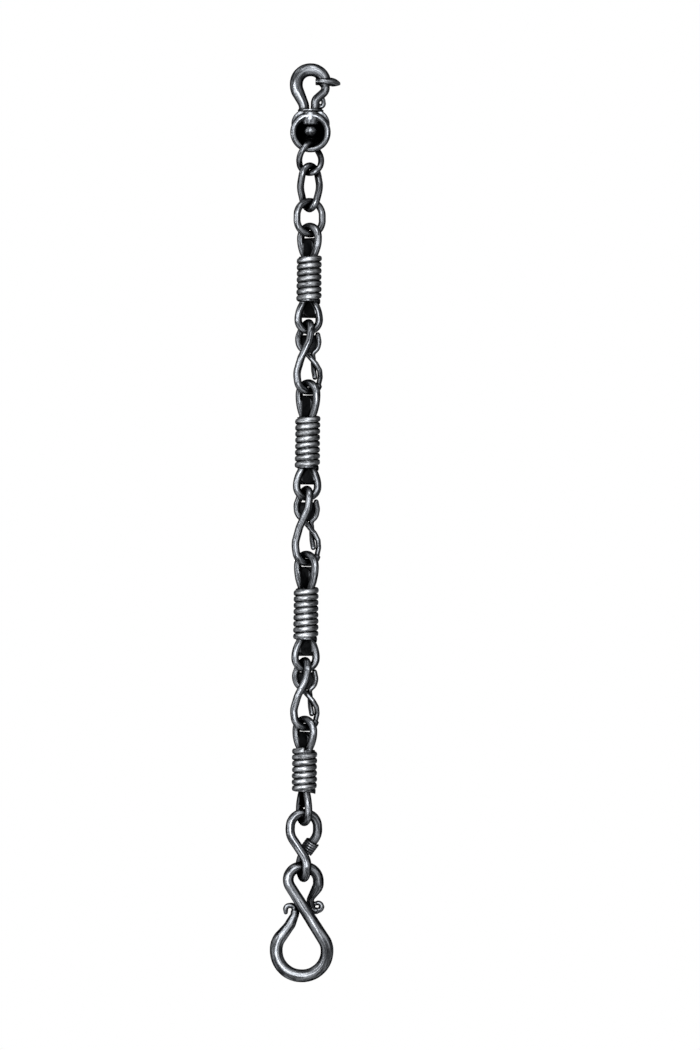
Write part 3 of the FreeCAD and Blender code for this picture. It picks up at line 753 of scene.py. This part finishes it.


# This web stands where there is only shade: painted shade.
@dataclass(frozen=True)
class CrossingShadeWeb:
    """The black web behind the crossing of a twisted link, from its thin strand to its rope wire.

    Attributes:
        number: Which twisted link it is on, from the top.
        rod: The link's rod, in metres.
        start: Where it starts, as a share of the drop from the link's crown to its foot.
        shoulder: Where the strands start to run together, as such a share.
        end: Where they meet, as such a share.
        middle: The x and y of its middle line above the shoulder, in metres.
        meeting: The x and y of that line where the strands meet, in metres.
        half_width: Half its width above the shoulder, in metres.
        end_half_width: Half its width where the strands meet, in metres.
        half_thickness: Half its thickness, in metres.
        steps: The steps along it.
    """

    number: int
    rod: float = 10.2 * MM
    start: float = 0.175
    shoulder: float = 0.33
    end: float = 0.44
    middle: Pair = (-0.4 * MM, 10.2 * MM)
    meeting: Pair = (0.9 * MM, 9.6 * MM)
    half_width: float = 12.6 * MM
    end_half_width: float = 2.5 * MM
    half_thickness: float = 1.4 * MM
    steps: int = 16

    def build(self) -> bpy.types.Object:
        """Builds the web behind its crossing.

        Returns:
            The web's object.
        """
        low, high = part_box(f"twist_link_{self.number}")
        top = high.z - self.rod / 2
        drop = top - low.z - self.rod / 2
        line: list[Vector] = []
        for i in range(self.steps + 1):
            share = self.start + (self.end - self.start) * i / self.steps
            run = self.run_together(share)
            x, y = (between(a, b, run) for a, b in zip(self.middle, self.meeting))
            line.append(Vector((x, y, top - drop * share)))

        def section(share: float) -> list[Pair]:
            run = self.run_together(between(self.start, self.end, share))
            width = between(self.half_width, self.end_half_width, run)
            return rounded_bar(width, edge_thickness(self.half_thickness, share))

        across = Vector((1.0, 0.0, 0.0))
        web = swept_mesh(f"crossing_web_{self.number}", line, section, lambda share: across)
        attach(web, f"twist_link_{self.number}_body")
        return web

    def run_together(self, share: float) -> float:
        """Tells how far the strands have run together.

        Args:
            share: The place, as a share of the drop.

        Returns:
            From 0 at the shoulder to 1 where they meet.
        """
        return max(0.0, min(1.0, (share - self.shoulder) / (self.end - self.shoulder)))


@dataclass
class Chain:
    """The whole chain: every solid of the frame with its skin, the wound wires and the webs.

    Attributes:
        nodes: The frame's objects by node name.
        steel: The finish of the bars, and of every solid that no other finish is for.
        deep_shaded: The same iron with deeper painted shade in the cup and on the hook that passes
            into it.
        scale: The near-black finish of the webs, painted shade.
        wire: The finish of the wound wires.
        coil_turns: The turns of each coil, from the top.
        unshaded_end: From each end of a bar to where the painted shade round its axis starts, in
            metres.
        hook_shade_drop: From the cup's top down to where the hook's painted shade starts, in metres.
        hook_shade_left: The share of the colour that is left in that painted shade.
        upper_eye: Half the width of an upper eye, and half the distance between its legs at the
            coil, in metres.
        lower_eye: The same for a lower eye.
        upper_eye_turn: How far the upper eyes are turned about the chain, in degrees.
        lower_eye_turn: The same for the lower eyes, but for the last.
        last_eye_turn: The same for the lower eye of the last bar.
        round_rod: The rod of the round link, in metres.
        twist_rod: The rod of the twisted links, in metres.
        small_rod: The rod of the small link, in metres.
        room: What stays open between an upper eye's web and the link in that eye, in metres.
        swing_room: The same for a lower eye, whose link swings, in metres.
        broad_room: The same for the last one, whose link is broader, in metres.
    """

    nodes: dict[str, bpy.types.Object]
    steel: ForgedIron = ForgedIron("blackened_iron")
    # Its ambient occlusion reaches further: deeper painted shade in the cup and on the hook in it.
    deep_shaded: ForgedIron = ForgedIron("deep_shaded_iron", shade_reach=45 * MM)
    # The webs' near-black finish stands in for shade: painted shade.
    scale: ForgedIron = ForgedIron(
        "shade_web_black",
        scale_colour=(0.004, 0.004, 0.0045),
        iron_colour=(0.008, 0.0085, 0.0095),
        rubbed_colour=(0.022, 0.023, 0.025),
        rough=0.5,
        scale_rough=0.6,
    )
    wire: ForgedIron = ForgedIron(
        "wound_wire",
        iron_colour=(0.085, 0.089, 0.095),
        rubbed_colour=(0.40, 0.415, 0.435),
        rough=0.40,
        scale_rough=0.46,
        grain=Grain.ROUND_BAR,
        wear=0.6,
        dent=0.25 * MM,
        # Its ambient occlusion darkens the gaps between the turns: painted shade.
        shade_reach=9 * MM,
        shade_from=0.60,
    )
    coil_turns: tuple[float, ...] = (7.25, 8.25, 8.25, 6.75)
    unshaded_end: float = 19 * MM
    hook_shade_drop: float = 6 * MM
    hook_shade_left: float = 0.22
    upper_eye: Pair = (15.5 * MM, 9.3 * MM)
    lower_eye: Pair = (14.2 * MM, 8.4 * MM)
    upper_eye_turn: float = -42.0
    lower_eye_turn: float = 14.0
    last_eye_turn: float = -65.0
    round_rod: float = 9.4 * MM
    twist_rod: float = 10.2 * MM
    small_rod: float = 12.4 * MM
    room: float = 0.8 * MM
    swing_room: float = 1.4 * MM
    broad_room: float = 4.5 * MM

    def build(self) -> None:
        """Dresses the nodes, winds the coils and puts in the webs."""
        steel = self.steel.material()
        wire = self.wire.material()
        deep_shaded = self.deep_shaded.material()
        skin = HammeredSkin()
        for name, piece in self.nodes.items():
            if name.startswith("coil_"):
                continue
            skin.put_on(piece)
            if name.startswith("eye_bar_"):
                dress(piece, self.bar_finish(name).material())
            elif name == "top_hook":
                dress(piece, self.hook_finish().material())
            else:
                dress(piece, deep_shaded if name == "swivel_cup" else steel)
            LOG.info("dressed %s", name)
        for number, turns in enumerate(self.coil_turns, start=1):
            piece = WoundCoil(number, turns).build()
            dress(piece, wire)
            LOG.info("wound coil %d with %d faces", number, len(piece.data.polygons))
        # The webs stand where there is only shade and are near-black: painted shade.
        scale = self.scale.material()
        for web in self.webs():
            dress(web.build(), scale)

    def bar_finish(self, name: str) -> ForgedIron:
        """Gives a bar's own finish, with painted shade on the tongues in its eyes.

        Args:
            name: The bar's node.

        Returns:
            The finish.
        """
        low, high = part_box(name)
        span = (low.z + self.unshaded_end, high.z - self.unshaded_end)
        return replace(self.steel, name=f"{name}_iron", shade_span=span)

    def hook_finish(self) -> ForgedIron:
        """Gives the top hook's finish, with painted shade on the shank and ball inside the cup.

        Returns:
            The finish.
        """
        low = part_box("top_hook")[0].z
        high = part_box("swivel_cup")[1].z - self.hook_shade_drop
        left = self.hook_shade_left
        return replace(self.deep_shaded, name="hook_iron", shade_span=(low, high), shade_left=left)

    def webs(self) -> list[EyeShadeWeb | CrossingShadeWeb]:
        """Lists the webs in the eyes and behind the crossings.

        Returns:
            The webs, from the top down.
        """
        found: list[EyeShadeWeb | CrossingShadeWeb] = []
        last = len(self.coil_turns)
        for number in range(1, last + 1):
            rod = self.round_rod if number == 1 else self.twist_rod
            found.append(EyeShadeWeb(number, True, self.upper_eye_turn, *self.upper_eye, rod, self.room))
            if number == last:
                turn, rod, room = self.last_eye_turn, self.small_rod, self.broad_room
            else:
                turn, rod, room = self.lower_eye_turn, self.twist_rod, self.swing_room
            found.append(EyeShadeWeb(number, False, turn, *self.lower_eye, rod, room))
            if number != last:
                found.append(CrossingShadeWeb(number))
        return found


@dataclass(frozen=True)
class SoftBox:
    """A rectangular lamp that points at the middle of the chain.

    Attributes:
        name: The lamp's name.
        place: Where it stands, from the middle of the chain, in metres.
        size: Its width and height, in metres.
        power: Its power, in watts.
    """

    name: str
    place: Triple
    size: Pair
    power: float

    def set_up(self, middle: Vector) -> None:
        """Adds the lamp to the scene.

        Args:
            middle: The middle of the chain, in metres.
        """
        data = bpy.data.lights.new(self.name, "AREA")
        data.shape = "RECTANGLE"
        data.size, data.size_y = self.size
        data.energy = self.power
        made = bpy.data.objects.new(self.name, data)
        bpy.context.scene.collection.objects.link(made)
        place = Vector(self.place) + middle
        made.location = place
        made.rotation_euler = (middle - place).to_track_quat("-Z", "Y").to_euler()


@dataclass
class Studio:
    """The camera, the lamps, the white ground and the floor.

    Attributes:
        pixel: How much of the object one pixel of the picture shows, in metres.
        picture: The picture's width and height in pixels.
        chain_top: The pixel column and row at which the chain's axis meets the seat of its hook.
        lean: How far the chain leans to the right in the picture, in degrees.
        distance: From the camera to the chain, in metres.
        sensor: The height of the camera's sensor, in millimetres.
        camera_reach: How far the camera sees, in metres.
        lamps: The lamps.
        ground: The colour of the ground.
        ground_light: The ground's strength where neither the camera nor the metal sees it.
        open_side: The direction in which the white in front lies, as the metal shows it.
        back_edge: Where the white behind starts to fade and where the dark flags are full, from 0
            straight behind to 1 straight in front.
        front_edge: Where the flags start to fade and where the white in front is full, likewise.
        flag_grey: The strength of the flags.
        floor_drop: From the chain's lowest point to the floor, in metres.
        floor_half: Half the floor's side, in metres.
        floor_grey: The floor's colour.
        floor_rough: Its roughness.
        floor_lift: How far it is lifted towards white for the camera.
    """

    pixel: float = 1.32 * MM
    picture: tuple[int, int] = (700, 1050)
    chain_top: Pair = (311.0, 76.3)
    lean: float = 0.54
    distance: float = 6.0
    sensor: float = 36.0
    camera_reach: float = 50.0
    lamps: tuple[SoftBox, ...] = (
        SoftBox("key_light", (-0.2, -2.5, 0.2), (1.5, 1.8), 66.0),
        SoftBox("side_light", (-1.8, -1.6, 0.2), (0.35, 1.6), 16.0),
        SoftBox("top_light", (-0.2, -1.6, 2.2), (1.0, 0.5), 16.0),
    )
    ground: Triple = (1.0, 1.0, 1.0)
    ground_light: float = 0.22
    open_side: Triple = (-0.3, -0.95, 0.12)
    back_edge: Pair = (0.04, 0.10)
    front_edge: Pair = (0.46, 0.78)
    flag_grey: float = 0.06
    floor_drop: float = 0.34
    floor_half: float = 1.1
    floor_grey: float = 0.85
    floor_rough: float = 0.9
    floor_lift: float = 0.58

    def build(self, low: Vector) -> None:
        """Sets up everything round the object.

        Args:
            low: The object's lowest corner, in metres.
        """
        self.camera()
        self.world()
        self.floor(low.z - self.floor_drop)
        middle = Vector((0.0, 0.0, low.z / 2))
        for lamp in self.lamps:
            lamp.set_up(middle)

    def camera(self) -> None:
        """Places the camera so that the picture frames the chain as the photograph does."""
        lean = math.radians(self.lean)
        right = Vector((math.cos(lean), 0.0, math.sin(lean)))
        up = Vector((-math.sin(lean), 0.0, math.cos(lean)))
        off_x = (self.picture[0] / 2 - self.chain_top[0]) * self.pixel
        off_y = (self.picture[1] / 2 - self.chain_top[1]) * self.pixel
        aim = right * off_x - up * off_y
        data = bpy.data.cameras.new("camera")
        data.sensor_fit = "VERTICAL"
        data.sensor_height = self.sensor
        data.lens = data.sensor_height * self.distance / (self.picture[1] * self.pixel)
        data.dof.use_dof = False
        data.clip_end = self.camera_reach
        made = bpy.data.objects.new("camera", data)
        bpy.context.scene.collection.objects.link(made)
        back = right.cross(up)
        turned = Matrix((right, up, back)).transposed().to_4x4()
        made.matrix_world = Matrix.Translation(aim + back * self.distance) @ turned
        bpy.context.scene.camera = made

    def world(self) -> None:
        """Makes the ground white to the camera, flagged in the metal and dim as a light."""
        world = bpy.data.worlds.new("white_ground")
        bpy.context.scene.world = world
        world.use_nodes = True
        world.node_tree.nodes.clear()
        graph = Graph(world.node_tree)
        out = graph.add("ShaderNodeOutputWorld")
        ground = graph.add("ShaderNodeBackground")
        ground.inputs["Color"].default_value = (*self.ground, 1.0)
        ray = graph.add("ShaderNodeLightPath").outputs
        seen = graph.calculated("MAXIMUM", ray["Is Camera Ray"], ray["Is Glossy Ray"])
        through = graph.calculated("MAXIMUM", seen, ray["Is Transmission Ray"])
        strength = graph.ranged(through, target=(self.ground_light, 1.0))
        flagged = graph.add("ShaderNodeMix", data_type="FLOAT")
        graph.feed(flagged.inputs["Factor"], ray["Is Glossy Ray"])
        graph.feed(flagged.inputs["A"], strength)
        graph.feed(flagged.inputs["B"], self.flags(graph))
        graph.feed(ground.inputs["Strength"], flagged.outputs["Result"])
        graph.feed(out.inputs["Surface"], ground.outputs["Background"])

    def flags(self, graph: Graph) -> Socket:
        """Makes what the metal shows of the studio: white in front and behind, dark flags between.

        Args:
            graph: The world's nodes.

        Returns:
            The socket of the strength of the ground in the metal.
        """
        facing = graph.add("ShaderNodeVectorMath", operation="DOT_PRODUCT")
        graph.feed(facing.inputs[0], graph.add("ShaderNodeTexCoord").outputs["Generated"])
        facing.inputs[1].default_value = Vector(self.open_side).normalized()
        spot = graph.ranged(facing.outputs["Value"], source=(-1.0, 1.0))
        places = (0.0, *self.back_edge, *self.front_edge)
        strengths = (1.0, 1.0, self.flag_grey, self.flag_grey, 1.0)
        stops = [(place, (grey, grey, grey)) for place, grey in zip(places, strengths)]
        return graph.ramp(spot, stops)

    def floor(self, height: float) -> None:
        """Lays a pale floor under the hanging chain, below the picture's edge.

        Args:
            height: The floor's height, in metres.
        """
        half = self.floor_half
        corners = ((-half, -half), (half, -half), (half, half), (-half, half))
        mesh = bpy.data.meshes.new("floor")
        mesh.from_pydata([(x, y, height) for x, y in corners], [], [(0, 1, 2, 3)])
        made = bpy.data.objects.new("floor", mesh)
        bpy.context.scene.collection.objects.link(made)
        mesh.materials.append(self.pale_floor())
        made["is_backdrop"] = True

    def pale_floor(self) -> bpy.types.Material:
        """Makes the floor's material: pale, and lifted to white for the camera, with its shadows.

        Returns:
            The new material.
        """
        pale = bpy.data.materials.new("pale_floor")
        pale.use_nodes = True
        graph = Graph(pale.node_tree)
        skin = pale.node_tree.nodes["Principled BSDF"]
        grey = self.floor_grey
        skin.inputs["Base Color"].default_value = (grey, grey, grey, 1.0)
        skin.inputs["Roughness"].default_value = self.floor_rough
        skin.inputs["Specular IOR Level"].default_value = 0.0
        skin.inputs["Emission Color"].default_value = (*self.ground, 1.0)
        ray = graph.add("ShaderNodeLightPath").outputs
        lift = graph.calculated("MULTIPLY", ray["Is Camera Ray"], self.floor_lift)
        graph.feed(skin.inputs["Emission Strength"], lift)
        return pale


def main() -> None:
    """Builds the dressed chain and the studio round it."""
    logging.basicConfig(level=logging.INFO, format="%(name)s: %(message)s")
    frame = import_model()
    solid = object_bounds()
    bpy.context.scene.view_settings.view_transform = "Standard"
    Chain(frame["nodes"]).build()
    Studio().build(solid[0])


if __name__ == "__main__":
    main()
